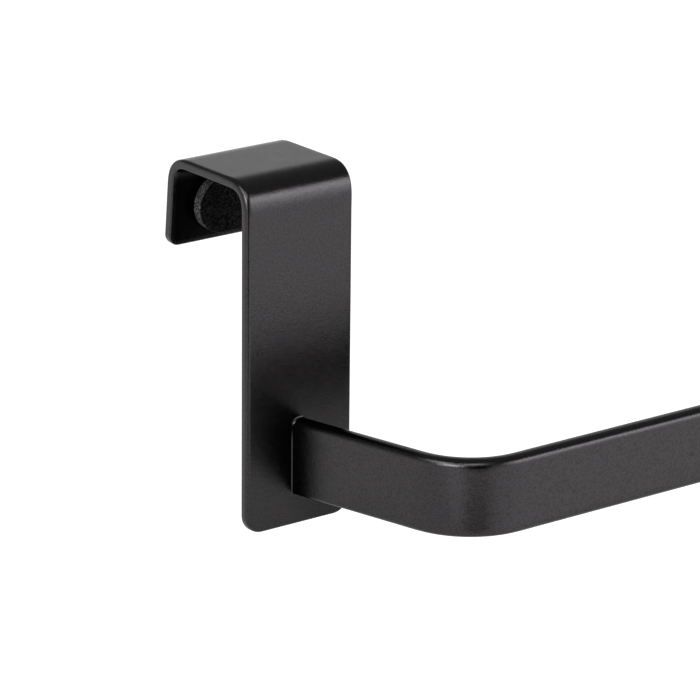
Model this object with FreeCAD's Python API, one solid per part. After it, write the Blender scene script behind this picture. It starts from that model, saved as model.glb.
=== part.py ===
import FreeCAD, Part
import math
import os

# An over-door towel bar: two hooks bent from flat steel strip, a flat bar bent into a wide
# shallow bracket whose two ends are welded to the fronts of the hooks, and foam discs that
# keep the steel off the door.
#
# Millimetres. X runs along the bar, Y runs from the room to the back of the door, Z is up.
# The origin is midway between the hooks, on the door's top edge, in line with the hooks'
# inner front faces. Steel sizes include the powder coat.

# Strip that each hook is bent from
STRIP_WIDTH = 25.0
STRIP_THICKNESS = 1.9
STRIP_EDGE_BREAK = 0.3
BEND_INSIDE_RADIUS = 3.35

# Hooks, spaced from middle to middle
HOOK_SPACING = 225.0
DOOR_GAP = 22.15
PLATE_HEIGHT = 70.7
PLATE_CORNER_RADIUS = 3.8
LIP_CORNER_RADIUS = 2.3
LIP_SPLAY_DEG = 5.0

# Towel bar, flat with rounded edges
BAR_HEIGHT = 15.5
BAR_THICKNESS = 3.15
BAR_EDGE_ROUND = 1.2
BAR_OUTER_BEND_RADIUS = 16.4
BAR_REACH = 42.1
PLATE_BELOW_BAR = 6.2
ARM_INWARD_DEG = 13.3

# Weld bead round each end of the bar
WELD_LEG = 0.2
WELD_TOE = 0.03

# Foam discs, one on each lip and one low on the back of each plate
PAD_DIAMETER = 11.8
PAD_THICKNESS = 2.2
LIP_PAD_TOP_MARGIN = 0.1
LIP_PAD_END_MARGIN = 1.8
LIP_PAD_OFF_MIDDLE = 1.2
PLATE_PAD_END_MARGIN = 3.0

# Worked out from the sizes above
SPLAY = math.radians(LIP_SPLAY_DEG)
ARM_SLANT = math.radians(ARM_INWARD_DEG)
HOOK_CENTRE_X = HOOK_SPACING / 2
PLATE_FRONT_Y = -STRIP_THICKNESS
PLATE_BOTTOM_Z = STRIP_THICKNESS - PLATE_HEIGHT
BAR_FRONT_Y = PLATE_FRONT_Y - BAR_REACH
BAR_MIDDLE_Z = PLATE_BOTTOM_Z + PLATE_BELOW_BAR + BAR_HEIGHT / 2
LIP_BEND_SETBACK = BEND_INSIDE_RADIUS * math.tan((math.pi / 2 - SPLAY) / 2)
LIP_LENGTH = LIP_BEND_SETBACK + LIP_PAD_TOP_MARGIN + PAD_DIAMETER + LIP_PAD_END_MARGIN

TOLERANCE = 0.001


def vec(x, y, z):
    return FreeCAD.Vector(x, y, z)


# Along the splayed lip towards its free end, and square to it towards the door's back
LIP_DOWN = vec(0, math.sin(SPLAY), -math.cos(SPLAY))
LIP_OUTWARDS = vec(0, math.cos(SPLAY), math.sin(SPLAY))
LIP_INNER_CORNER = vec(0, DOOR_GAP, 0)


def rounded_path(points, radii):
    """Straight runs joined by tangent arcs, one radius for each inner point."""
    edges = []
    start = points[0]
    for before, corner, after, radius in zip(points, points[1:], points[2:], radii):
        towards = (before - corner).normalize()
        away = (after - corner).normalize()
        half_turn = (math.pi - towards.getAngle(away)) / 2
        arc_start = corner + towards * (radius * math.tan(half_turn))
        arc_end = corner + away * (radius * math.tan(half_turn))
        to_middle = radius / math.cos(half_turn) - radius
        arc_middle = corner + (towards + away).normalize() * to_middle
        edges.append(Part.LineSegment(start, arc_start).toShape())
        edges.append(Part.Arc(arc_start, arc_middle, arc_end).toShape())
        start = arc_end
    edges.append(Part.LineSegment(start, points[-1]).toShape())
    return Part.Wire(edges)


def hook_profile():
    """Side view of the bent strip: plate, top and splayed lip, as one closed outline."""
    foot = vec(0, 0, PLATE_BOTTOM_Z)
    foot_front = vec(0, PLATE_FRONT_Y, PLATE_BOTTOM_Z)
    lip_end = LIP_INNER_CORNER + LIP_DOWN * LIP_LENGTH
    lip_end_outer = lip_end + LIP_OUTWARDS * STRIP_THICKNESS
    mitre = STRIP_THICKNESS * math.tan((math.pi / 2 - SPLAY) / 2)
    outer = rounded_path(
        [
            foot_front,
            vec(0, PLATE_FRONT_Y, STRIP_THICKNESS),
            vec(0, DOOR_GAP + mitre, STRIP_THICKNESS),
            lip_end_outer,
        ],
        [BEND_INSIDE_RADIUS + STRIP_THICKNESS] * 2,
    )
    inner = rounded_path(
        [lip_end, LIP_INNER_CORNER, vec(0, 0, 0), foot],
        [BEND_INSIDE_RADIUS] * 2,
    )
    lip_cut = Part.LineSegment(lip_end_outer, lip_end).toShape()
    foot_cut = Part.LineSegment(foot, foot_front).toShape()
    return Part.Wire(outer.Edges + [lip_cut] + inner.Edges + [foot_cut])


def corner_edges(hook, middle_of_end):
    """The two short edges through the strip's thickness at one free end."""
    found = []
    for side in (-1, 1):
        target = middle_of_end + vec(side * STRIP_WIDTH / 2, 0, 0)
        found.append(min(hook.Edges, key=lambda edge: (edge.CenterOfMass - target).Length))
    return found


def cut_edges(hook):
    """The edges round the strip's two faces, without the lines at its bends."""
    found = []
    for edge in hook.Edges:
        is_bend_line = edge.BoundBox.XLength > STRIP_WIDTH - TOLERANCE
        goes_through = abs(edge.Length - STRIP_THICKNESS) < TOLERANCE
        if not is_bend_line and not goes_through:
            found.append(edge)
    return found


def make_hook(centre_x):
    """A strip bent over the door's top, with rounded corners and its sharp edges broken."""
    strip = Part.Face(hook_profile()).extrude(vec(STRIP_WIDTH, 0, 0))
    strip.translate(vec(-STRIP_WIDTH / 2, 0, 0))
    foot_middle = vec(0, PLATE_FRONT_Y / 2, PLATE_BOTTOM_Z)
    lip_end_middle = LIP_INNER_CORNER + LIP_DOWN * LIP_LENGTH + LIP_OUTWARDS * (STRIP_THICKNESS / 2)
    strip = strip.makeFillet(PLATE_CORNER_RADIUS, corner_edges(strip, foot_middle))
    strip = strip.makeFillet(LIP_CORNER_RADIUS, corner_edges(strip, lip_end_middle))
    hook = strip.makeChamfer(STRIP_EDGE_BREAK, cut_edges(strip))
    hook.translate(vec(centre_x, 0, 0))
    return hook


def flat_bar_outline(width, height, corner_radius):
    """A rounded rectangle about the origin: width along X, height along Z."""
    half_x = width / 2
    half_z = height / 2
    start = vec(0, 0, -half_z)
    corners = [
        vec(half_x, 0, -half_z),
        vec(half_x, 0, half_z),
        vec(-half_x, 0, half_z),
        vec(-half_x, 0, -half_z),
    ]
    return rounded_path([start] + corners + [start], [corner_radius] * len(corners))


def bar_corner_points():
    """Middle line of the bar: the left end, the two corners, the right end."""
    front_y = BAR_FRONT_Y + BAR_THICKNESS / 2
    corner_x = HOOK_CENTRE_X - (PLATE_FRONT_Y - front_y) * math.tan(ARM_SLANT)
    return [
        vec(-HOOK_CENTRE_X, PLATE_FRONT_Y, BAR_MIDDLE_Z),
        vec(-corner_x, front_y, BAR_MIDDLE_Z),
        vec(corner_x, front_y, BAR_MIDDLE_Z),
        vec(HOOK_CENTRE_X, PLATE_FRONT_Y, BAR_MIDDLE_Z),
    ]


def room_side_block():
    """Everything in front of the hooks' front faces, which trims the bar's ends flush."""
    size_x = HOOK_SPACING * 2
    size_y = BAR_REACH * 2
    size_z = BAR_HEIGHT * 2
    corner = vec(-size_x / 2, PLATE_FRONT_Y - size_y, BAR_MIDDLE_Z - size_z / 2)
    return Part.makeBox(size_x, size_y, size_z, corner)


def make_bar():
    """Flat bar swept along its middle line, its ends trimmed flush with the hooks."""
    points = bar_corner_points()
    arm_way = vec(-math.sin(ARM_SLANT), math.cos(ARM_SLANT), 0)
    points[0] = points[0] + arm_way * BAR_THICKNESS
    points[-1] = points[-1] + vec(-arm_way.x, arm_way.y, 0) * BAR_THICKNESS
    path = rounded_path(points, [BAR_OUTER_BEND_RADIUS - BAR_THICKNESS / 2] * 2)
    section = flat_bar_outline(BAR_THICKNESS, BAR_HEIGHT, BAR_EDGE_ROUND)
    section.rotate(vec(0, 0, 0), vec(0, 0, 1), ARM_INWARD_DEG)
    section.translate(points[0])
    return path.makePipeShell([section], True, False).common(room_side_block())


def make_weld(side, bar):
    """A bead that slopes from the hook's front face to the bar, all round the bar's end."""
    width = BAR_THICKNESS / math.cos(ARM_SLANT)
    outlines = []
    for grow, away in ((WELD_LEG, 0), (WELD_TOE, WELD_LEG)):
        outline = flat_bar_outline(width + 2 * grow, BAR_HEIGHT + 2 * grow, BAR_EDGE_ROUND + grow)
        middle_x = side * (HOOK_CENTRE_X - away * math.tan(ARM_SLANT))
        outline.translate(vec(middle_x, PLATE_FRONT_Y - away, BAR_MIDDLE_Z))
        outlines.append(outline)
    return Part.makeLoft(outlines, True, True).cut(bar)


def make_pad(centre, way):
    """A foam disc glued down at `centre`, which stands out along `way`."""
    return Part.makeCylinder(PAD_DIAMETER / 2, PAD_THICKNESS, centre, way)


def make_lip_pad(side):
    """The disc on the lip's inner face, stuck on a little towards the hook's outer edge."""
    down = LIP_LENGTH - LIP_PAD_END_MARGIN - PAD_DIAMETER / 2
    across = vec(side * (HOOK_CENTRE_X + LIP_PAD_OFF_MIDDLE), 0, 0)
    return make_pad(LIP_INNER_CORNER + LIP_DOWN * down + across, LIP_OUTWARDS * -1)


def make_plate_pad(side):
    """The disc low on the back of the plate, which holds the plate off the door's front."""
    up = PLATE_PAD_END_MARGIN + PAD_DIAMETER / 2
    return make_pad(vec(side * HOOK_CENTRE_X, 0, PLATE_BOTTOM_Z + up), vec(0, 1, 0))


def main():
    os.makedirs("parts", exist_ok=True)
    bar = make_bar()
    pieces = {"towel_bar": bar}
    for name, side in (("left", -1), ("right", 1)):
        pieces[name + "_hook"] = make_hook(side * HOOK_CENTRE_X)
        pieces[name + "_weld"] = make_weld(side, bar)
        pieces[name + "_lip_pad"] = make_lip_pad(side)
        pieces[name + "_plate_pad"] = make_plate_pad(side)
    for node, shape in pieces.items():
        shape.exportStep("parts/" + node + ".step")
        print(node, len(shape.Solids), "solid, valid", shape.isValid(), "mm3", round(shape.Volume, 1))


main()
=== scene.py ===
# %% [markdown]
# # An over-door towel bar, dressed in Blender
#
# Two hooks bent from flat steel strip go over the top of a cabinet door. A flat steel bar, bent
# into a wide, shallow bracket, is welded to their fronts. All of the steel wears one coat of
# satin black powder. Foam discs keep it off the door.
#
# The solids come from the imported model, already in place and at their real size. This lesson
# gives them their looks: the bent strip with its softly rounded edges, the bar, the weld beads,
# the foam, and a finish for each.

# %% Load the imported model
import math

import bpy
import numpy as np
from mathutils import Matrix, Vector


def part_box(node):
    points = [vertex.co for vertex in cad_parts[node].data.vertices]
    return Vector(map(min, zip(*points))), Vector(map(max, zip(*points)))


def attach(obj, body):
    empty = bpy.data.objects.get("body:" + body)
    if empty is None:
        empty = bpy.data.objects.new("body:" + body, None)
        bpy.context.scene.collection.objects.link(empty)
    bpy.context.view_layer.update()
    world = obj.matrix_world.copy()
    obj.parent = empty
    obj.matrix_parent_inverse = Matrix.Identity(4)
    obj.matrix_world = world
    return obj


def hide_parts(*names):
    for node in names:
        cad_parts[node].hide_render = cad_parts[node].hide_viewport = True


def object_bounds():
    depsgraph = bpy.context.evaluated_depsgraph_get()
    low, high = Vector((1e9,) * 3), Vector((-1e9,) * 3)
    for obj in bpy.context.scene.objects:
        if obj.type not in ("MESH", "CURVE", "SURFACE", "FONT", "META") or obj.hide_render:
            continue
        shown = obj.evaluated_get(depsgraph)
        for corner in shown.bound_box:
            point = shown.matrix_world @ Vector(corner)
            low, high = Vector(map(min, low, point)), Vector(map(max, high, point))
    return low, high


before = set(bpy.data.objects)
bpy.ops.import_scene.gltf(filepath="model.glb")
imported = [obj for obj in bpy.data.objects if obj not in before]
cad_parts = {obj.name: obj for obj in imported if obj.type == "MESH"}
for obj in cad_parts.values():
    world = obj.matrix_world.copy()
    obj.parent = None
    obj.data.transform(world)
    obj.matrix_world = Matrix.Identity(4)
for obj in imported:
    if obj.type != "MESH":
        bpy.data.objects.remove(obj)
CAD_LOW, CAD_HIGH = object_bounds()
MM = 0.001
print("solids:", ", ".join(sorted(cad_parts)))
print("size in mm:", [round(side / MM, 2) for side in CAD_HIGH - CAD_LOW])

# %% [markdown]
# ## The camera
#
# The picture was taken with a long lens from the front left, a little above the part, and it
# shows the left hook and the first stretch of the bar. A camera can be placed by eye, but a fit
# to the part's own corners is surer: it gives the point that the camera looks at, its azimuth
# and elevation, its distance and the focal length. The camera was held a little out of level,
# so it also rolls by half a degree.

# %% Camera
AIM = Vector((-115.345, -21.600, -27.348)) * MM
CAMERA_AZIMUTH = math.radians(-37.549)
CAMERA_ELEVATION = math.radians(18.410)
CAMERA_DISTANCE = 830.12 * MM
CAMERA_ROLL = math.radians(0.559)
LENS_MM = 226.8
SENSOR_MM = 36.0


def direction(azimuth, elevation):
    """Unit vector from the part towards a place in the room. Azimuth 0 is the front, -Y."""
    level = math.cos(elevation)
    return Vector((math.sin(azimuth) * level, -math.cos(azimuth) * level, math.sin(elevation)))


lens = bpy.data.cameras.new("photo_camera")
lens.lens = LENS_MM
lens.sensor_width = SENSOR_MM
lens.clip_start = 0.02
lens.clip_end = 60.0
camera = bpy.data.objects.new("photo_camera", lens)
bpy.context.scene.collection.objects.link(camera)
towards_camera = direction(CAMERA_AZIMUTH, CAMERA_ELEVATION)
camera.location = AIM + towards_camera * CAMERA_DISTANCE
camera.rotation_mode = "QUATERNION"
level_turn = (-towards_camera).to_track_quat("-Z", "Y")
camera.rotation_quaternion = level_turn @ Matrix.Rotation(CAMERA_ROLL, 3, "Z").to_quaternion()
bpy.context.scene.camera = camera
bpy.context.scene.view_settings.view_transform = "Standard"
print("camera at mm:", [round(place / MM, 1) for place in camera.location])

# %% [markdown]
# ## The room
#
# Black gloss shows almost nothing of itself, only the room around it. The picture was taken in
# a white room with a dark ceiling. Faces that mirror the room at eye level read as dark grey,
# and the first part of the bend, which mirrors the ceiling, is close to black.
#
# One picture of a room could be wrapped round the part. A gradient from bright walls to a dark
# ceiling does the same and has no seams. It is what the coat mirrors. Two plain worlds go with
# it: an even grey for the light that falls on the part, and white for the background.

# %% World
ROOM_LIGHT = 0.85
CEILING_LIGHT = 0.18
EVEN_LIGHT = 0.90
WALL_TOP = 0.10
CEILING_START = 0.52


def add_node(tree, kind, **values):
    """A new node of a kind, with its properties set by name."""
    node = tree.nodes.new(kind)
    for name, value in values.items():
        setattr(node, name, value)
    return node


world = bpy.data.worlds.new("white_room")
bpy.context.scene.world = world
world.use_nodes = True
tree = world.node_tree
tree.nodes.clear()
place = add_node(tree, "ShaderNodeTexCoord")
split = add_node(tree, "ShaderNodeSeparateXYZ")
tree.links.new(place.outputs["Generated"], split.inputs[0])
height = add_node(tree, "ShaderNodeMapRange", interpolation_type="SMOOTHSTEP")
height.inputs["From Min"].default_value = WALL_TOP
height.inputs["From Max"].default_value = CEILING_START
height.inputs["To Min"].default_value = ROOM_LIGHT
height.inputs["To Max"].default_value = CEILING_LIGHT
tree.links.new(split.outputs["Z"], height.inputs["Value"])
mirrored = add_node(tree, "ShaderNodeBackground")
tree.links.new(height.outputs[0], mirrored.inputs["Color"])
even = add_node(tree, "ShaderNodeBackground")
even.inputs["Color"].default_value = (EVEN_LIGHT, EVEN_LIGHT, EVEN_LIGHT, 1.0)
white = add_node(tree, "ShaderNodeBackground")
white.inputs["Color"].default_value = (1.0, 1.0, 1.0, 1.0)
path = add_node(tree, "ShaderNodeLightPath")
by_gloss = add_node(tree, "ShaderNodeMixShader")
tree.links.new(path.outputs["Is Glossy Ray"], by_gloss.inputs[0])
tree.links.new(even.outputs[0], by_gloss.inputs[1])
tree.links.new(mirrored.outputs[0], by_gloss.inputs[2])
by_camera = add_node(tree, "ShaderNodeMixShader")
tree.links.new(path.outputs["Is Camera Ray"], by_camera.inputs[0])
tree.links.new(by_gloss.outputs[0], by_camera.inputs[1])
tree.links.new(white.outputs[0], by_camera.inputs[2])
out = add_node(tree, "ShaderNodeOutputWorld")
tree.links.new(by_camera.outputs[0], out.inputs[0])
print("world: room", ROOM_LIGHT, "ceiling", CEILING_LIGHT)

# %% [markdown]
# ## The lamps and what stands round the part
#
# Everything else that the coat mirrors is a thing in the room. A soft box at the front right
# makes the bright band low on the bend, and a dimmer board under it keeps the band's lower edge
# soft. Three more boxes, on the left and above, light the rounded edges and the weld beads.
#
# Three flat boards do the rest. A dark felt screen beside the camera gives the dark patches of
# the plate and the arm next to the weld. A pale bench top just under the part is seen only in
# the mirror, and lights the lower edges. The floor lies far below, as it would under a door. It
# keeps the part's shadow, and for the camera it glows a little, to be as pale as the background.

# %% Soft boxes
SOFT_BOXES = {
    "soft_box_right": dict(azimuth=37.0, elevation=17.6, far=1.6, wide=0.85, tall=0.56, shine=3.7),
    "reflector_right": dict(azimuth=37.0, elevation=-1.0, far=1.6, wide=0.85, tall=0.40, shine=1.6),
    "soft_box_left": dict(azimuth=-62.0, elevation=20.0, far=1.6, wide=0.70, tall=0.70, shine=9.0),
    "soft_box_above": dict(azimuth=-28.0, elevation=44.0, far=1.6, wide=0.60, tall=0.60, shine=4.0),
    "soft_box_high_left": dict(azimuth=-84.0, elevation=42.0, far=1.6, wide=0.80, tall=0.60, shine=4.5),
}


def soft_box(name, azimuth, elevation, far, wide, tall, shine):
    """A rectangular lamp that faces the part. Its shine is the brightness of its face."""
    lamp = bpy.data.lights.new(name, "AREA")
    lamp.shape = "RECTANGLE"
    lamp.size = wide
    lamp.size_y = tall
    lamp.energy = shine * math.pi * wide * tall
    holder = bpy.data.objects.new(name, lamp)
    bpy.context.scene.collection.objects.link(holder)
    towards_lamp = direction(math.radians(azimuth), math.radians(elevation))
    holder.location = AIM + towards_lamp * far
    holder.rotation_mode = "QUATERNION"
    holder.rotation_quaternion = (-towards_lamp).to_track_quat("-Z", "Y")
    holder.visible_camera = False


for box_name, box_values in SOFT_BOXES.items():
    soft_box(box_name, **box_values)
print("soft boxes:", len(SOFT_BOXES))

# %% Board helpers
def board(name, corners, material):
    """A flat board from its four corners."""
    mesh = bpy.data.meshes.new(name)
    mesh.from_pydata(corners, [], [(0, 1, 2, 3)])
    mesh.materials.append(material)
    piece = bpy.data.objects.new(name, mesh)
    bpy.context.scene.collection.objects.link(piece)
    return piece


def show_only_in_mirror(piece):
    """Hides a board from the camera and from all light but what a mirror shows."""
    piece.visible_camera = False
    piece.visible_diffuse = False
    piece.visible_shadow = False


def empty_material(name):
    """A new material with an empty node tree."""
    material = bpy.data.materials.new(name)
    material.use_nodes = True
    material.node_tree.nodes.clear()
    return material, material.node_tree


def matt_shader(tree, grey):
    """A matt shader of one grey."""
    shader = add_node(tree, "ShaderNodeBsdfDiffuse")
    shader.inputs["Color"].default_value = (grey, grey, grey, 1.0)
    return shader.outputs[0]


def to_surface(tree, shader):
    """Links a shader to the material's output."""
    tree.links.new(shader, add_node(tree, "ShaderNodeOutputMaterial").inputs[0])


# %% Dark screen beside the camera
SCREEN_AZIMUTH = math.radians(-22.5)
SCREEN_FAR = 0.55
SCREEN_HALF_WIDE = 0.18
SCREEN_LOW = -0.222
SCREEN_HIGH = 0.30
SCREEN_GREY = 0.01

screen_middle = AIM + direction(SCREEN_AZIMUTH, 0.0) * SCREEN_FAR
screen_side = direction(SCREEN_AZIMUTH + math.pi / 2, 0.0) * SCREEN_HALF_WIDE
screen_corners = [
    screen_middle + x * screen_side + Vector((0, 0, z))
    for x, z in ((-1, SCREEN_LOW), (1, SCREEN_LOW), (1, SCREEN_HIGH), (-1, SCREEN_HIGH))
]
black_felt, tree = empty_material("black_felt")
to_surface(tree, matt_shader(tree, SCREEN_GREY))
screen = board("dark_screen", screen_corners, black_felt)
show_only_in_mirror(screen)
print("dark screen:", 2 * SCREEN_HALF_WIDE, "m wide")

# %% Floor
FLOOR_DROP = 0.30
FLOOR_HALF = 7.0
FLOOR_COLOUR = 0.75
FLOOR_GLOW = 0.36

floor_z = CAD_LOW.z - FLOOR_DROP
floor_signs = ((-1, -1), (1, -1), (1, 1), (-1, 1))
floor_corners = [(x * FLOOR_HALF, y * FLOOR_HALF, floor_z) for x, y in floor_signs]
paper, tree = empty_material("white_paper")
matt = matt_shader(tree, FLOOR_COLOUR)
glow = add_node(tree, "ShaderNodeEmission")
glow.inputs["Strength"].default_value = FLOOR_GLOW
lit = add_node(tree, "ShaderNodeAddShader")
tree.links.new(matt, lit.inputs[0])
tree.links.new(glow.outputs[0], lit.inputs[1])
path = add_node(tree, "ShaderNodeLightPath")
chosen = add_node(tree, "ShaderNodeMixShader")
tree.links.new(path.outputs["Is Camera Ray"], chosen.inputs[0])
tree.links.new(matt, chosen.inputs[1])
tree.links.new(lit.outputs[0], chosen.inputs[2])
to_surface(tree, chosen.outputs[0])
floor = board("floor", floor_corners, paper)
print("floor at mm:", round(floor_z / MM, 1))

# %% Bench top
BENCH_DROP = 0.001
BENCH_HALF_LONG = 0.42
BENCH_FRONT = -0.058
BENCH_BACK = 0.32
BENCH_COLOUR = 0.68

bench_z = CAD_LOW.z - BENCH_DROP
bench_corners = [
    (-BENCH_HALF_LONG, BENCH_FRONT, bench_z),
    (BENCH_HALF_LONG, BENCH_FRONT, bench_z),
    (BENCH_HALF_LONG, BENCH_BACK, bench_z),
    (-BENCH_HALF_LONG, BENCH_BACK, bench_z),
]
white_bench, tree = empty_material("white_bench")
to_surface(tree, matt_shader(tree, BENCH_COLOUR))
bench = board("bench_top", bench_corners, white_bench)
show_only_in_mirror(bench)
print("bench top at mm:", round(bench_z / MM, 1))

# %% [markdown]
# ## Powder coat
#
# Dry powder is sprayed on, then baked until it flows out. What is left is a satin film with a
# fine grain and a soft, shallow waviness like orange peel. A picture of the finish could be
# wrapped round the part, but noise in the part's own coordinates needs no seams and keeps its
# scale on every piece. The layers are put together in a node group. Peel bends the reflections,
# grain breaks them up, and a layer too fine to be seen blurs their edges as satin does.
#
# The film also has pits that mirror less. The fold of a hook is painted shade: its inner face
# mirrors less there. Steel seen in a mirror of steel is painted shade too, darker still between
# the parts. All three are drawn with Metallic: a metal's mirror has the base colour, so over a
# base colour close to black more Metallic turns the mirror down and adds no light of its own.
# The mirror is tinted a little towards purple, a painted tint that stands in for the room's light.


# %% Node group helpers
def new_group(name, inputs, outputs):
    """An empty shader node group with float inputs, and outputs given as name and socket type."""
    group = bpy.data.node_groups.new(name, "ShaderNodeTree")
    for label, value in inputs.items():
        socket = group.interface.new_socket(name=label, in_out="INPUT", socket_type="NodeSocketFloat")
        socket.default_value = value
    for label, kind in outputs.items():
        group.interface.new_socket(name=label, in_out="OUTPUT", socket_type=kind)
    entry = group.nodes.new("NodeGroupInput")
    exit_node = group.nodes.new("NodeGroupOutput")
    return group, entry, exit_node


def math_node(tree, operation, first, second):
    """One step of arithmetic. A number is set on the socket and a socket is linked to it."""
    node = add_node(tree, "ShaderNodeMath", operation=operation)
    for socket, value in zip(node.inputs, (first, second)):
        if isinstance(value, bpy.types.NodeSocket):
            tree.links.new(value, socket)
        else:
            socket.default_value = value
    return node.outputs[0]


def mix_colour(tree, factor, first, second):
    """Blends two colours by a factor. A colour is set on the socket and a socket is linked."""
    node = add_node(tree, "ShaderNodeMix", data_type="RGBA")
    tree.links.new(factor, node.inputs["Factor"])
    for socket, value in ((node.inputs[6], first), (node.inputs[7], second)):
        if isinstance(value, bpy.types.NodeSocket):
            tree.links.new(value, socket)
        else:
            socket.default_value = value
    return node.outputs[2]


def noise(tree, vector, scale, detail=2.0, roughness=0.5):
    """Noise from 0 to 1 at a number of lumps per metre."""
    node = add_node(tree, "ShaderNodeTexNoise")
    node.inputs["Scale"].default_value = scale
    node.inputs["Detail"].default_value = detail
    node.inputs["Roughness"].default_value = roughness
    tree.links.new(vector, node.inputs["Vector"])
    return node.outputs[0]


# %% Powder grain group
PEEL_PER_METRE = 330.0
GRAIN_PER_METRE = 2300.0
FINE_PER_METRE = 9000.0
PITS_PER_METRE = 2600.0
PIT_FROM = 0.35
PIT_TO = 0.75
MOTTLE_PER_METRE = 60.0

powder_grain, entry, leave = new_group(
    "powder_grain",
    {"Peel": 20e-6, "Grain": 10e-6, "Fine": 10e-6},
    {"Height": "NodeSocketFloat", "Mottle": "NodeSocketFloat", "Pit": "NodeSocketFloat"},
)
place = add_node(powder_grain, "ShaderNodeTexCoord").outputs["Object"]
layers = {"Peel": PEEL_PER_METRE, "Grain": GRAIN_PER_METRE, "Fine": FINE_PER_METRE}
height = 0.0
for label, per_metre in layers.items():
    lumps = noise(powder_grain, place, per_metre, detail=1.0)
    layer = math_node(powder_grain, "MULTIPLY", lumps, entry.outputs[label])
    height = math_node(powder_grain, "ADD", height, layer)
powder_grain.links.new(height, leave.inputs["Height"])
mottle = noise(powder_grain, place, MOTTLE_PER_METRE, detail=3.0)
powder_grain.links.new(mottle, leave.inputs["Mottle"])
pit = add_node(powder_grain, "ShaderNodeMapRange", interpolation_type="SMOOTHSTEP")
pit.inputs["From Min"].default_value = PIT_FROM
pit.inputs["From Max"].default_value = PIT_TO
pitting = noise(powder_grain, place, PITS_PER_METRE, detail=1.0)
powder_grain.links.new(pitting, pit.inputs["Value"])
powder_grain.links.new(pit.outputs[0], leave.inputs["Pit"])
print("group:", powder_grain.name)

# %% Powder coat material
COAT_COLOUR = (0.0005, 0.0005, 0.0005, 1.0)
# A painted tint of the room's light on the coat's mirror, a little towards purple.
PAINTED_ROOM_TINT = (1.0, 0.945, 0.99, 1.0)
COAT_ROUGHNESS = 0.18
ROUGHNESS_SPREAD = 0.03
FOLD_SHADE_STRENGTH = 0.82
PIT_DULLING = 0.28
COAT_IOR = 1.6


def principled(name):
    """A new material with its Principled shader, its node tree and that shader."""
    material = bpy.data.materials.new(name)
    material.use_nodes = True
    shader = material.node_tree.nodes["Principled BSDF"]
    return material, material.node_tree, shader


def place_group(tree, group, **values):
    """Puts a node group into a material and sets its inputs."""
    node = tree.nodes.new("ShaderNodeGroup")
    node.node_tree = group
    for label, value in values.items():
        node.inputs[label].default_value = value
    return node


black_coat, tree, shader = principled("black_powder_coat")
shader.inputs["Base Color"].default_value = COAT_COLOUR
shader.inputs["Specular Tint"].default_value = PAINTED_ROOM_TINT
shader.inputs["IOR"].default_value = COAT_IOR
grain_node = place_group(tree, powder_grain, Peel=20e-6, Grain=14e-6, Fine=19e-6)
# Painted shade between the parts: for mirror rays the coat turns fully metallic and rough, so steel
# mirrored in steel is black.
seen_in_a_mirror = add_node(tree, "ShaderNodeLightPath").outputs["Is Glossy Ray"]
# Painted shade: the mark in the fold of each hook turns the coat's mirror down there.
painted_fold_shade = add_node(tree, "ShaderNodeAttribute", attribute_name="painted_fold_shade").outputs["Fac"]
fold_shade_metallic = math_node(tree, "MULTIPLY", painted_fold_shade, FOLD_SHADE_STRENGTH)
pitted = math_node(tree, "MULTIPLY", grain_node.outputs["Pit"], PIT_DULLING)
pits_and_painted_shade = math_node(tree, "MAXIMUM", math_node(tree, "MAXIMUM", fold_shade_metallic, pitted), seen_in_a_mirror)
tree.links.new(pits_and_painted_shade, shader.inputs["Metallic"])
spread = add_node(tree, "ShaderNodeMapRange")
spread.inputs["To Min"].default_value = COAT_ROUGHNESS - ROUGHNESS_SPREAD
spread.inputs["To Max"].default_value = COAT_ROUGHNESS + ROUGHNESS_SPREAD
tree.links.new(grain_node.outputs["Mottle"], spread.inputs["Value"])
roughness_and_painted_shade = math_node(tree, "MAXIMUM", spread.outputs[0], seen_in_a_mirror)
tree.links.new(roughness_and_painted_shade, shader.inputs["Roughness"])
bump = add_node(tree, "ShaderNodeBump")
bump.inputs["Strength"].default_value = 1.0
bump.inputs["Distance"].default_value = 1.0
tree.links.new(grain_node.outputs["Height"], bump.inputs["Height"])
tree.links.new(bump.outputs[0], shader.inputs["Normal"])
print("material:", black_coat.name)

# %% [markdown]
# ## Grids and rings
#
# Each new piece is one closed surface on a grid of numbered points: a row of points is a
# section, and the rows follow each other along the piece. Whole arrays of points are worked
# out at once. A closed surface has a volume, and its sign tells whether its faces look out.


# %% Mesh helpers
def numbered(rows, columns, first=0):
    """Point numbers of a grid, row by row."""
    return first + np.arange(rows * columns).reshape(rows, columns)


def faces_between(numbers, ring=False):
    """Four corners for each cell of a table of point numbers.

    In a ring the last column meets the first.
    """
    if ring:
        numbers = np.concatenate([numbers, numbers[:, :1]], axis=1)
    cells = (numbers[:-1, :-1], numbers[:-1, 1:], numbers[1:, 1:], numbers[1:, :-1])
    return np.stack(cells, axis=-1).reshape(-1, 4)


def signed_volume(points, faces):
    """Sum of the tetrahedra from the origin to each face, positive if the faces look out."""
    total = 0.0
    for second, third in ((1, 2), (2, 3)):
        a, b, c = (points[faces[:, corner]] for corner in (0, second, third))
        total += np.einsum("ij,ij->", a, np.cross(b, c)) / 6
    return total


SHARP_TURN = math.radians(50.0)


def make_piece(name, points, faces, material):
    """A smooth mesh object at the origin, creased where faces turn sharply.

    Points are in metres. A face with three corners repeats one of them.
    """
    if signed_volume(points, faces) < 0:
        faces = faces[:, ::-1]
    corners = [list(dict.fromkeys(face)) for face in faces.tolist()]
    mesh = bpy.data.meshes.new(name)
    mesh.from_pydata(points.tolist(), [], corners)
    mesh.polygons.foreach_set("use_smooth", np.ones(len(corners), bool))
    mesh.set_sharp_from_angle(angle=SHARP_TURN)
    mesh.materials.append(material)
    piece = bpy.data.objects.new(name, mesh)
    bpy.context.scene.collection.objects.link(piece)
    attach(piece, "root")
    size = (points.max(axis=0) - points.min(axis=0)) / MM
    print(name, "faces", len(corners), "size in mm", [round(float(side), 2) for side in size])
    return piece


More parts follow.
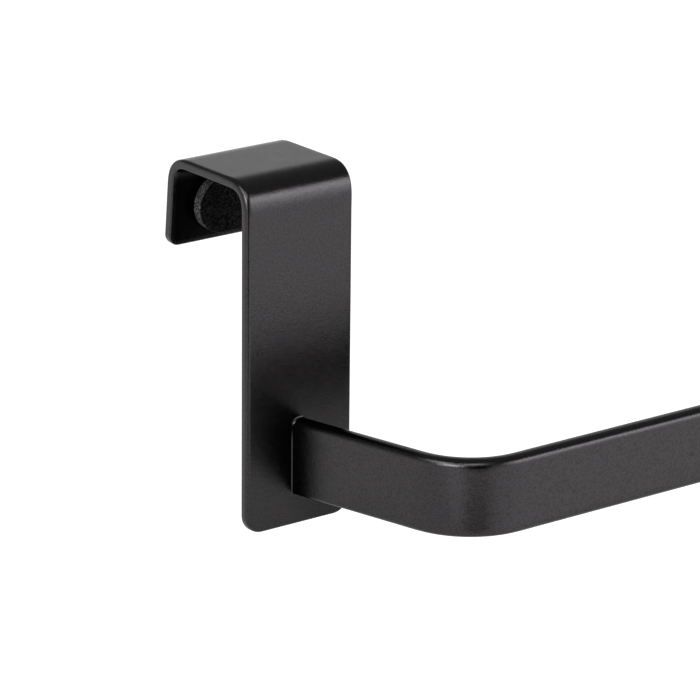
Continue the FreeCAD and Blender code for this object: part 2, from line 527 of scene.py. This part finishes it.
# %% A line of runs and bends
def follow_runs(runs, heading, places):
    """First and second coordinate and heading at lengths along a line of straight runs and bends.

    Each run is a length and a turn. A straight run adds its length times (cos h, sin h), where h
    is the heading. A bend of radius R that has turned by a adds R (sin(h + a) - sin h) and
    R (cos h - cos(h + a)).
    """
    first = np.zeros(len(places))
    second = np.zeros(len(places))
    headings = np.full(len(places), heading)
    start = 0.0
    for length, turn in runs:
        inside = np.clip(places - start, 0, length)
        if turn:
            radius = length / turn
            angle = inside / radius
            first += radius * (np.sin(heading + angle) - math.sin(heading))
            second += radius * (math.cos(heading) - np.cos(heading + angle))
            headings += angle
        else:
            first += inside * math.cos(heading)
            second += inside * math.sin(heading)
        start += length
        heading += turn
    return first, second, headings


def spaced(start, end, step):
    """Even places from start up to end, without the end, at most a step apart."""
    count = max(1, math.ceil((end - start) / step))
    return np.linspace(start, end, count, endpoint=False)


def total_length(runs):
    """How long a line of runs is."""
    return sum(length for length, turn in runs)


EASE_STEPS = 8


def eased_bend(radius, turn, ease):
    """Runs of a bend that tightens evenly over a length, holds, and slackens evenly.

    Its apex lies where that of a round bend of this radius would. With s = 1 / cos(turn / 2),
    the tightest radius r is the larger root of (s - 1) r r - (s - 1) radius r + s ease ease / 24.
    """
    spread = 1 / math.cos(turn / 2)
    square, slope, rest = spread - 1, (spread - 1) * radius, spread * ease**2 / 24
    tight = (slope + math.sqrt(slope**2 - 4 * square * rest)) / (2 * square)
    held = tight * turn - ease
    step = ease / EASE_STEPS
    ramp = [(step, (k + 0.5) / EASE_STEPS * step / tight) for k in range(EASE_STEPS)]
    return [*ramp, (held, held / tight), *ramp[::-1]]


def setback(bend):
    """From the start of a bend to where its two straight runs would meet."""
    forward, sideways, heading = follow_runs(bend, 0.0, np.array([total_length(bend)]))
    return float(forward[0] - sideways[0] / math.tan(heading[0]))


# %% [markdown]
# ## The hooks
#
# A hook starts as a flat blank, cut from strip, with rounded corners and its sharp edges
# tumbled soft, and is then bent twice. A solid block could be bevelled instead, but a bevel
# breaks up where edges meet and leaves steps in the reflections. So the mesh is made the way the
# hook is. A grid covers the flat blank, its border is carried round the edge of the strip, and
# the whole blank is bent along its middle line, tightening and slackening smoothly.
#
# The edges aren't all alike. The outer face has softer edges than the inner one, and among them
# the one on the part's outer side is the softest, most of all at the front bend. The lip's edges
# are crisper. The inner face carries a mark for painted shade in the fold, which makes it mirror
# less there, and the mark fades out down the back of the plate.

# %% Sizes of the strip
# Lengths that no box gives are the solids' own. The edge roundings are finer than theirs.
hook_low, hook_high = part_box("left_hook")
STRIP_WIDTH = hook_high.x - hook_low.x
STRIP_THICKNESS = hook_high.z
HOOK_CENTRE_X = -(hook_high.x + hook_low.x) / 2
PLATE_BOTTOM_Z = hook_low.z
BEND_INSIDE_RADIUS = 3.35 * MM
DOOR_GAP = 22.15 * MM
LIP_SPLAY = math.radians(5.0)
LIP_LENGTH = 16.770 * MM
PLATE_CORNER_RADIUS = 3.8 * MM
LIP_CORNER_RADIUS = 2.3 * MM
STRIP_EDGE_ROUND = 0.52 * MM
EDGE_LEAN = 0.22 * MM
BEND_EDGE_LEAN = 0.60 * MM
LIP_EDGE_LEAN = -0.14 * MM
CRISPEST_EDGE = 0.25 * MM
EDGE_HOLD = 0.06 * MM
EDGE_WIDTH = STRIP_EDGE_ROUND + BEND_EDGE_LEAN + EDGE_HOLD
STRIP_INNER_ROUND = 0.35 * MM
BEND_EASE = 4.0 * MM
LIP_TURN = math.pi / 2 - LIP_SPLAY
FRONT_BEND = eased_bend(BEND_INSIDE_RADIUS + STRIP_THICKNESS / 2, math.pi / 2, BEND_EASE)
LIP_BEND = eased_bend(BEND_INSIDE_RADIUS + STRIP_THICKNESS / 2, LIP_TURN, BEND_EASE)
MITRE = STRIP_THICKNESS / 2 * math.tan(LIP_TURN / 2)
HOOK_RUNS = [
    (STRIP_THICKNESS / 2 - PLATE_BOTTOM_Z - setback(FRONT_BEND), 0.0),
    *FRONT_BEND,
    (STRIP_THICKNESS / 2 + DOOR_GAP + MITRE - setback(FRONT_BEND) - setback(LIP_BEND), 0.0),
    *LIP_BEND,
    (LIP_LENGTH + MITRE - setback(LIP_BEND), 0.0),
]
BLANK_LENGTH = total_length(HOOK_RUNS)
FRONT_BEND_START = HOOK_RUNS[0][0]
FRONT_BEND_END = FRONT_BEND_START + total_length(FRONT_BEND)
LIP_BEND_START = BLANK_LENGTH - total_length(LIP_BEND) - HOOK_RUNS[-1][0]
print("strip in mm:", round(STRIP_WIDTH / MM, 2), "x", round(STRIP_THICKNESS / MM, 2))
print("blank length in mm:", round(BLANK_LENGTH / MM, 2))

# %% Rows of the flat blank
CORNER_ROWS = 13
FLAT_STEP = 0.9 * MM
BEND_STEP = 0.16 * MM


def blank_rows():
    """Places along the blank, half widths there and the border's outward way in the flat.

    Round a corner of radius R the border, set in by the edge rounding e, is at
    R - (R - e) cos a along the blank and W/2 - R + (R - e) sin a across it, for a from 0 to 90
    degrees. Its outward way is (-cos a, sin a), and the same mirrored at the lip's end.
    """
    half = STRIP_WIDTH / 2
    angle = np.linspace(0, math.pi / 2, CORNER_ROWS)
    foot, lip = PLATE_CORNER_RADIUS, LIP_CORNER_RADIUS
    foot_inner, lip_inner = foot - EDGE_WIDTH, lip - EDGE_WIDTH
    middle = []
    start = 0.0
    for length, turn in HOOK_RUNS:
        first = max(start, foot)
        last = min(start + length, BLANK_LENGTH - lip)
        middle.append(spaced(first, last, BEND_STEP if turn else FLAT_STEP))
        start += length
    middle = np.concatenate(middle)[1:]
    lip_angle = angle[::-1]
    foot_along = foot - foot_inner * np.cos(angle)
    lip_along = BLANK_LENGTH - lip + lip_inner * np.cos(lip_angle)
    along = np.concatenate([foot_along, middle, lip_along])
    foot_widths = half - foot + foot_inner * np.sin(angle)
    lip_widths = half - lip + lip_inner * np.sin(lip_angle)
    widths = np.concatenate([foot_widths, np.full(len(middle), half - EDGE_WIDTH), lip_widths])
    ways = np.concatenate([-np.cos(angle), np.zeros(len(middle)), np.cos(lip_angle)])
    return along, widths, ways


# %% Bent hook
EDGE_STEPS = 7
COLUMN_HOLD = 0.985
FACE_COLUMNS = 33
FOLD_SHADE_FADE = 30.0 * MM


def edge_profile(radius):
    """How far out and how high the strip's edge is, from its outer face round to its inner face.

    It has a column for each radius R. With w the width that the edge takes up and T the
    strip's thickness, the outer edge is w - R (1 - sin a) out and T/2 - R (1 - cos a) high. The
    inner edge of radius r is w - r (1 - cos a) out and -T/2 + r (1 - sin a) high.
    """
    angle = np.linspace(0, math.pi / 2, EDGE_STEPS)[:, None]
    top = STRIP_THICKNESS / 2
    outer_out = EDGE_WIDTH - radius * (1 - np.sin(angle))
    outer_high = top - radius * (1 - np.cos(angle))
    inner_out = EDGE_WIDTH - STRIP_INNER_ROUND * (1 - np.cos(angle)) + 0 * radius
    inner_high = -top + STRIP_INNER_ROUND * (1 - np.sin(angle)) + 0 * radius
    side_out = np.full((2, len(radius)), EDGE_WIDTH)
    side_high = np.stack([outer_high[-1] - EDGE_HOLD, inner_high[0] + EDGE_HOLD])
    out = np.concatenate([outer_out, side_out, inner_out, inner_out[-1:] - EDGE_HOLD])
    high = np.concatenate([outer_high, side_high, inner_high, inner_high[-1:]])
    return out, high


def border_of(table):
    """The entries round a table's border, from its first corner along the first row."""
    return np.concatenate([table[0, :-1], table[:-1, -1], table[-1, :0:-1], table[:0:-1, 0]])


def bend_strip(along, across, high, centre_x):
    """Carries points of the flat blank to the bent hook: Z is the first heading, then Y."""
    up, back, heading = follow_runs(HOOK_RUNS, 0.0, along)
    y = -STRIP_THICKNESS / 2 + back - high * np.cos(heading)
    z = PLATE_BOTTOM_Z + up + high * np.sin(heading)
    return np.stack([centre_x + across, y, z], axis=-1)


# Along the blank, where the lean of the outer edges changes: round the front bend and the lip's
LEAN_PLACES = [
    FRONT_BEND_START - 1.5 * MM,
    FRONT_BEND_START * 0.6 + FRONT_BEND_END * 0.4,
    FRONT_BEND_START * 0.4 + FRONT_BEND_END * 0.6,
    FRONT_BEND_END + 2.5 * MM,
    LIP_BEND_START,
    LIP_BEND_START + 6 * MM,
]
LEANS = [EDGE_LEAN, BEND_EDGE_LEAN, BEND_EDGE_LEAN, EDGE_LEAN, EDGE_LEAN, LIP_EDGE_LEAN]


def make_hook(name, centre_x, material):
    """A grid on each face of the blank, joined by rings carried round its edge, then bent.

    The edge on the part's outer side is rounder than the one that faces the other hook. It is
    roundest at the front bend, where the outer face is stretched and draws its edges in, and
    crisp along the lip.
    """
    rows, widths, ways = blank_rows()
    share = np.concatenate([[-1.0], np.linspace(-COLUMN_HOLD, COLUMN_HOLD, FACE_COLUMNS), [1.0]])
    along = np.repeat(rows[:, None], len(share), axis=1)
    across = widths[:, None] * share[None, :]
    side = np.sign(share)[None, :] * np.sqrt(1 - ways**2)[:, None]
    forward = np.repeat(ways[:, None], len(share), axis=1)
    side[[0, -1], :] = 0.0
    outer_side = math.copysign(1, centre_x)
    lean = np.interp(border_of(along), LEAN_PLACES, LEANS)
    radius = STRIP_EDGE_ROUND + outer_side * lean * border_of(side)
    out, ring_high = edge_profile(np.maximum(radius, CRISPEST_EDGE))
    ring_along = border_of(along)[None, :] + out * border_of(forward)[None, :]
    ring_across = border_of(across)[None, :] + out * border_of(side)[None, :]
    top = np.full(along.shape, STRIP_THICKNESS / 2)
    parts = ((along, ring_along, along), (across, ring_across, across), (top, ring_high, -top))
    flat = [np.concatenate([table.ravel() for table in tables]) for tables in parts]
    points = bend_strip(*flat, centre_x)
    outer = numbered(*along.shape)
    rings = numbered(*ring_along.shape, first=outer.size)
    inner = numbered(*along.shape, first=outer.size + rings.size)
    loops = np.concatenate([border_of(outer)[None, :], rings, border_of(inner)[None, :]])
    edge_faces = faces_between(loops, ring=True)[:, ::-1]
    faces = np.concatenate([faces_between(outer), faces_between(inner)[:, ::-1], edge_faces])
    hook = make_piece(name, points, faces, material)
    # Painted shade in the fold: a mark on the inner face, fading out down the back of the plate.
    fold_shade_values = np.zeros(len(points), np.float32)
    fade = [FRONT_BEND_START - FOLD_SHADE_FADE, FRONT_BEND_START]
    fold_shade_values[inner.ravel()] = np.interp(along.ravel(), fade, [0.0, 1.0])
    hook.data.attributes.new("painted_fold_shade", "FLOAT", "POINT").data.foreach_set("value", fold_shade_values)
    return hook


SIDES = {"left": -1, "right": 1}
for side_name, side in SIDES.items():
    hook = make_hook(side_name + "_bent_hook", side * HOOK_CENTRE_X, black_coat)
    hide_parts(side_name + "_hook")

# %% [markdown]
# ## The bar
#
# The bar is drawn flat steel with rounded edges, bent at two corners over a round former. A
# curve with a bevel could be used, but its ends stay square to it, and the bar's ends must lie
# flat on the hooks. So the section is carried along the middle line, and along each arm it
# leans over until the last section lies flat on the front of the hook.
#
# The edge that catches the light, the upper one on the room side, is the softest. A bend also
# dishes flat steel a little, and rolling narrows its edges. Both are slight, but they decide
# how the light runs through the corner.

# %% Sizes of the bar
bar_low, bar_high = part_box("towel_bar")
BAR_THICKNESS = 3.15 * MM
BAR_HEIGHT = bar_high.z - bar_low.z
BAR_MIDDLE_Z = (bar_high.z + bar_low.z) / 2
BAR_UPPER_ROUND = 1.55 * MM
BAR_LOWER_ROUND = 0.95 * MM
BAR_INNER_ROUND = 0.85 * MM
BAR_MIDDLE_RADIUS = 16.4 * MM - BAR_THICKNESS / 2
BAR_EASE = 6.0 * MM
ARM_SLANT = math.radians(13.3)
BAR_END_Y = bar_high.y
BAR_MIDDLE_Y = bar_low.y + BAR_THICKNESS / 2
BAR_TURN = math.pi / 2 - ARM_SLANT
BAR_BEND = eased_bend(BAR_MIDDLE_RADIUS, BAR_TURN, BAR_EASE)
ARM_LENGTH = (BAR_END_Y - BAR_MIDDLE_Y) / math.cos(ARM_SLANT) - setback(BAR_BEND)
BAR_CORNER_X = HOOK_CENTRE_X - (BAR_END_Y - BAR_MIDDLE_Y) * math.tan(ARM_SLANT)
BAR_RUNS = [
    (ARM_LENGTH, 0.0),
    *BAR_BEND,
    (2 * (BAR_CORNER_X - setback(BAR_BEND)), 0.0),
    *BAR_BEND,
    (ARM_LENGTH, 0.0),
]
BAR_LENGTH = total_length(BAR_RUNS)
print("bar blank in mm:", round(BAR_LENGTH / MM, 1), "arm", round(ARM_LENGTH / MM, 2))

# %% Bar section
ARC_STEPS = 9
BAR_FACE_POINTS = 17


def bar_section(face_points):
    """The section's outline, outward across the bar and up: the outer half, then the inner one.

    Each half is a quarter circle, a broad face and another quarter circle. A quarter circle of
    radius R is T/2 - R (1 - sin a) out and H/2 - R (1 - cos a) away from the middle. The outer
    half runs up and the inner one runs down, and the narrow flats join them.
    """
    angle = np.linspace(0, math.pi / 2, ARC_STEPS)
    halves = []
    for below, above in ((BAR_LOWER_ROUND, BAR_UPPER_ROUND), (BAR_LOWER_ROUND, BAR_INNER_ROUND)):
        low_out, high_out = (BAR_THICKNESS / 2 - r * (1 - np.sin(angle)) for r in (below, above))
        low_up, high_up = (BAR_HEIGHT / 2 - r * (1 - np.cos(angle)) for r in (below, above))
        face = np.linspace(-low_up[-1], high_up[-1], face_points)[1:-1]
        flat_out = np.full(len(face), BAR_THICKNESS / 2)
        out = np.concatenate([low_out, flat_out, high_out[::-1]])
        up = np.concatenate([-low_up, face, high_up[::-1]])
        halves.append((out, up))
    (outer_out, outer_up), (inner_out, inner_up) = halves
    return np.append(outer_out, -inner_out[::-1]), np.append(outer_up, inner_up[::-1])


# %% Bent bar
BAR_FLAT_STEP = 1.2 * MM
BAR_BEND_STEP = 0.35 * MM


def bar_places():
    """Places of the sections along the bar, close together in the bends."""
    places = []
    start = 0.0
    for length, turn in BAR_RUNS:
        places.append(spaced(start, start + length, BAR_BEND_STEP if turn else BAR_FLAT_STEP))
        start += length
    return np.append(np.concatenate(places), start)


BAR_DISH = 0.14 * MM
DISH_LEVEL = 0.4
BAR_ROLL = 0.05 * MM
ROLL_POWER = 6


def make_bar(name, material):
    """The section carried along the bent middle line.

    Near an end a point that is u outward slides by u tan(slant) along the arm, times how near
    the end it is. With s the share of the half height, rolling narrows the section by s^6 and
    a bend dishes it by s^2 - 0.4, times how tight the bend is there.
    """
    places = bar_places()
    out, up = bar_section(BAR_FACE_POINTS)
    x, y, heading = follow_runs(BAR_RUNS, -BAR_TURN, places)
    share = np.abs(up) / (BAR_HEIGHT / 2)
    out = out * (1 - 2 * BAR_ROLL / BAR_THICKNESS * share**ROLL_POWER)
    tightness = np.gradient(heading, places) * BAR_MIDDLE_RADIUS
    near_left = np.clip(1 - places / ARM_LENGTH, 0, 1)
    near_right = np.clip(1 - (BAR_LENGTH - places) / ARM_LENGTH, 0, 1)
    nearness = near_left - near_right
    slide = -nearness[:, None] * out[None, :] * math.tan(ARM_SLANT)
    out = out[None, :] + BAR_DISH * tightness[:, None] * (share[None, :] ** 2 - DISH_LEVEL)
    way_x, way_y = np.cos(heading)[:, None], np.sin(heading)[:, None]
    points_x = -HOOK_CENTRE_X + x[:, None] + out * way_y + slide * way_x
    points_y = BAR_END_Y + y[:, None] - out * way_x + slide * way_y
    points_z = np.broadcast_to(BAR_MIDDLE_Z + up[None, :], points_x.shape)
    points = np.stack([points_x, points_y, points_z], axis=-1).reshape(-1, 3)
    numbers = numbered(len(places), len(up))
    last = len(up) - 1
    rung = np.arange(len(up) // 2 - 1)
    ladder = np.stack([rung, rung + 1, last - rung - 1, last - rung], axis=-1)
    ends = np.concatenate([numbers[0][ladder], numbers[-1][ladder[:, ::-1]]])
    faces = np.concatenate([faces_between(numbers, ring=True)[:, ::-1], ends])
    return make_piece(name, points, faces, material)


bar = make_bar("bent_bar", black_coat)
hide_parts("towel_bar")

# %% [markdown]
# ## The weld beads
#
# A thin bead runs all round each end of the bar. It is a small hollow fillet, a little uneven
# because it was laid by hand, and the coat rounds it off. A round wire pushed into the joint
# would look alike from afar, but a hollow fillet mirrors a lamp as one clean line, as in the
# picture. Its profile is carried round the outline of the bar's end. The leg is long in a blob
# on the upper edge, where the bead was started, and close to nothing just beside it.

# %% Weld bead
BEAD_SUNK = 0.08 * MM
BEAD_STEPS = 7
BEAD_FACE_POINTS = 65
BEAD_UNEVEN = 0.08
BEAD_WAVES = 9
BEAD_WAVE_START = 1.0
BLOB_OUT = 0.30 * MM
FROM_BLOB = np.array([0.0, 1.2, 1.7, 2.4, 4.2]) * MM
LEG_BY_BLOB = np.array([0.42, 0.42, 0.006, 0.006, 0.19]) * MM


def outline_ways(x, z):
    """Unit outward ways of a closed outline, square to the line between each point's neighbours."""
    along_x = np.roll(x, -1) - np.roll(x, 1)
    along_z = np.roll(z, -1) - np.roll(z, 1)
    length = np.hypot(along_x, along_z)
    return along_z / length, -along_x / length


def make_bead(name, side, material):
    """A hollow fillet round the bar's end.

    At angle a its surface is leg (1 - sin a) out from the bar and leg (1 - cos a) away from the
    plate, and it leans with the arm. The leg is read from a table by the distance to the blob.
    """
    out, up = bar_section(BEAD_FACE_POINTS)
    across = -out / math.cos(ARM_SLANT)
    way_x, way_z = outline_ways(-across, up)
    way_x = -way_x
    turn = np.arange(len(out)) / len(out) * 2 * math.pi
    from_blob = np.hypot(out - BLOB_OUT, up - BAR_HEIGHT / 2)
    leg = np.interp(from_blob, FROM_BLOB, LEG_BY_BLOB)
    leg *= 1 + BEAD_UNEVEN * np.sin(BEAD_WAVES * turn + BEAD_WAVE_START)
    angle = np.linspace(0, math.pi / 2, BEAD_STEPS)
    sunk = np.full((len(leg), 1), -BEAD_SUNK)
    out_by = np.concatenate([leg[:, None] * (1 - np.sin(angle)), sunk], axis=1)
    away_by = np.concatenate([leg[:, None] * (1 - np.cos(angle)), sunk], axis=1)
    x = across[:, None] + out_by * way_x[:, None] + away_by * math.tan(ARM_SLANT)
    z = BAR_MIDDLE_Z + up[:, None] + out_by * way_z[:, None]
    y = BAR_END_Y - away_by
    points = np.stack([-side * (x - HOOK_CENTRE_X), y, z], axis=-1).reshape(-1, 3)
    numbers = numbered(*x.shape)
    closed = np.concatenate([numbers, numbers[:1]])
    return make_piece(name, points, faces_between(closed, ring=True), material)


for side_name, side in SIDES.items():
    bead = make_bead(side_name + "_weld_bead", side, black_coat)
    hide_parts(side_name + "_weld")

# %% [markdown]
# ## The foam discs
#
# The discs are punched from a sheet of black foam rubber with a sticky back. Their faces are
# open cells, dark and fine, and the punched side is rougher and paler. Cut cells could be real
# holes, but they are far smaller than the rim's rounding, so a colour and a bump draw them.
# Their walls show in patches, because the skin has closed over some of them.
#
# Each disc is a polar grid: rings of points from the middle of its face, over the soft rim,
# down its side and across its back. The punched side is marked, and takes its own cells.

# %% Open cells group
WALL_FROM = 0.25
WALL_TO = 0.75
PATCHES_PER_METRE = 2400.0
PATCH_FROM = 0.40
PATCH_TO = 0.66

open_cells, entry, leave = new_group(
    "open_cells",
    {"Per Metre": 3000.0, "Depth": 40e-6},
    {"Height": "NodeSocketFloat", "Wall": "NodeSocketFloat"},
)
place = add_node(open_cells, "ShaderNodeTexCoord").outputs["Object"]
cells = add_node(open_cells, "ShaderNodeTexVoronoi", feature="F1")
open_cells.links.new(place, cells.inputs["Vector"])
open_cells.links.new(entry.outputs["Per Metre"], cells.inputs["Scale"])
wall = add_node(open_cells, "ShaderNodeMapRange", interpolation_type="SMOOTHSTEP")
wall.inputs["From Min"].default_value = WALL_FROM
wall.inputs["From Max"].default_value = WALL_TO
open_cells.links.new(cells.outputs["Distance"], wall.inputs["Value"])
patch = add_node(open_cells, "ShaderNodeMapRange", interpolation_type="SMOOTHSTEP")
patch.inputs["From Min"].default_value = PATCH_FROM
patch.inputs["From Max"].default_value = PATCH_TO
open_cells.links.new(noise(open_cells, place, PATCHES_PER_METRE), patch.inputs["Value"])
wall_in_patches = math_node(open_cells, "MULTIPLY", wall.outputs[0], patch.outputs[0])
open_cells.links.new(wall_in_patches, leave.inputs["Wall"])
wall_height = math_node(open_cells, "MULTIPLY", wall.outputs[0], entry.outputs["Depth"])
open_cells.links.new(wall_height, leave.inputs["Height"])
print("group:", open_cells.name)

# %% Foam material
FOAM_PORE = (0.0004, 0.0004, 0.0004, 1.0)
FOAM_FACE = (0.021, 0.020, 0.021, 1.0)
FOAM_CUT_PORE = (0.022, 0.021, 0.022, 1.0)
FOAM_SIDE = (0.13, 0.127, 0.13, 1.0)

foam_black, tree, shader = principled("black_foam")
cut = add_node(tree, "ShaderNodeAttribute", attribute_name="cut_side").outputs["Fac"]
face_cells = place_group(tree, open_cells, **{"Per Metre": 3500.0, "Depth": 60e-6})
side_cells = place_group(tree, open_cells, **{"Per Metre": 4200.0, "Depth": 80e-6})
face_colour = mix_colour(tree, face_cells.outputs["Wall"], FOAM_PORE, FOAM_FACE)
side_colour = mix_colour(tree, side_cells.outputs["Wall"], FOAM_CUT_PORE, FOAM_SIDE)
tree.links.new(mix_colour(tree, cut, face_colour, side_colour), shader.inputs["Base Color"])
shader.inputs["Roughness"].default_value = 0.85
shader.inputs["Specular IOR Level"].default_value = 0.05
bump = add_node(tree, "ShaderNodeBump")
bump.inputs["Distance"].default_value = 1.0
height = math_node(tree, "ADD", face_cells.outputs["Height"], side_cells.outputs["Height"])
tree.links.new(height, bump.inputs["Height"])
tree.links.new(bump.outputs[0], shader.inputs["Normal"])
print("material:", foam_black.name)

# %% Foam discs
PAD_THICKNESS = 2.2 * MM
PAD_RIM = 0.35 * MM
PAD_AROUND = 120
FACE_RINGS = 18
RIM_RINGS = 6
SIDE_RINGS = 12
BACK_RINGS = 6
FIRST_RING = 0.04


def pad_profile(radius):
    """Distance from the middle and height, from the face over the rim and down to the back.

    The rim of radius r is R - r + r sin a from the middle and T - r + r cos a high.
    """
    angle = np.linspace(0, math.pi / 2, RIM_RINGS)
    face = np.linspace(FIRST_RING, 1.0, FACE_RINGS)[:-1] * (radius - PAD_RIM)
    rim_out = radius - PAD_RIM + PAD_RIM * np.sin(angle)
    rim_high = PAD_THICKNESS - PAD_RIM + PAD_RIM * np.cos(angle)
    side_high = np.linspace(rim_high[-1], 0, SIDE_RINGS)[1:]
    back = np.linspace(1.0, FIRST_RING, BACK_RINGS)[1:] * radius
    face_high = np.full(len(face), PAD_THICKNESS)
    side_out = np.full(len(side_high), radius)
    distance = np.concatenate([face, rim_out, side_out, back])
    high = np.concatenate([face_high, rim_high, side_high, np.zeros(len(back))])
    return distance, high


def make_pad(name, base, way, radius, material):
    """A disc glued down with the middle of its back at base, standing out along way."""
    distance, high = pad_profile(radius)
    around = np.linspace(0, 2 * math.pi, PAD_AROUND, endpoint=False)
    first = np.array([1.0, 0.0, 0.0])
    second = np.cross(way, first)
    spoke = np.cos(around)[:, None] * first + np.sin(around)[:, None] * second
    rings = base + distance[:, None, None] * spoke[None, :, :] + high[:, None, None] * way
    points = np.concatenate([rings.reshape(-1, 3), [base + PAD_THICKNESS * way], [base]])
    numbers = numbered(len(distance), PAD_AROUND)
    middles = []
    for row, pole in ((numbers[:1], len(points) - 2), (numbers[-1:], len(points) - 1)):
        fan = np.concatenate([row, np.full(row.shape, pole)])
        middles.append(faces_between(fan, ring=True))
    faces = np.concatenate([faces_between(numbers, ring=True), middles[0][:, ::-1], middles[1]])
    piece = make_piece(name, points, faces, material)
    is_cut = (distance > radius - PAD_RIM) & (high < PAD_THICKNESS - PAD_RIM / 2)
    cut_side = np.append(np.repeat(is_cut, PAD_AROUND), [False, False]).astype(np.float32)
    piece.data.attributes.new("cut_side", "FLOAT", "POINT").data.foreach_set("value", cut_side)
    return piece


LIP_OUT = np.array([0.0, math.cos(LIP_SPLAY), math.sin(LIP_SPLAY)])
PLATE_BACK = np.array([0.0, 1.0, 0.0])
for side_name, side in SIDES.items():
    for node, way in ((side_name + "_lip_pad", -LIP_OUT), (side_name + "_plate_pad", PLATE_BACK)):
        low, high = (np.array(corner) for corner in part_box(node))
        base = (low + high) / 2 - way * PAD_THICKNESS / 2
        pad = make_pad(node.replace("pad", "foam_disc"), base, way, (high[0] - low[0]) / 2, foam_black)
        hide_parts(node)
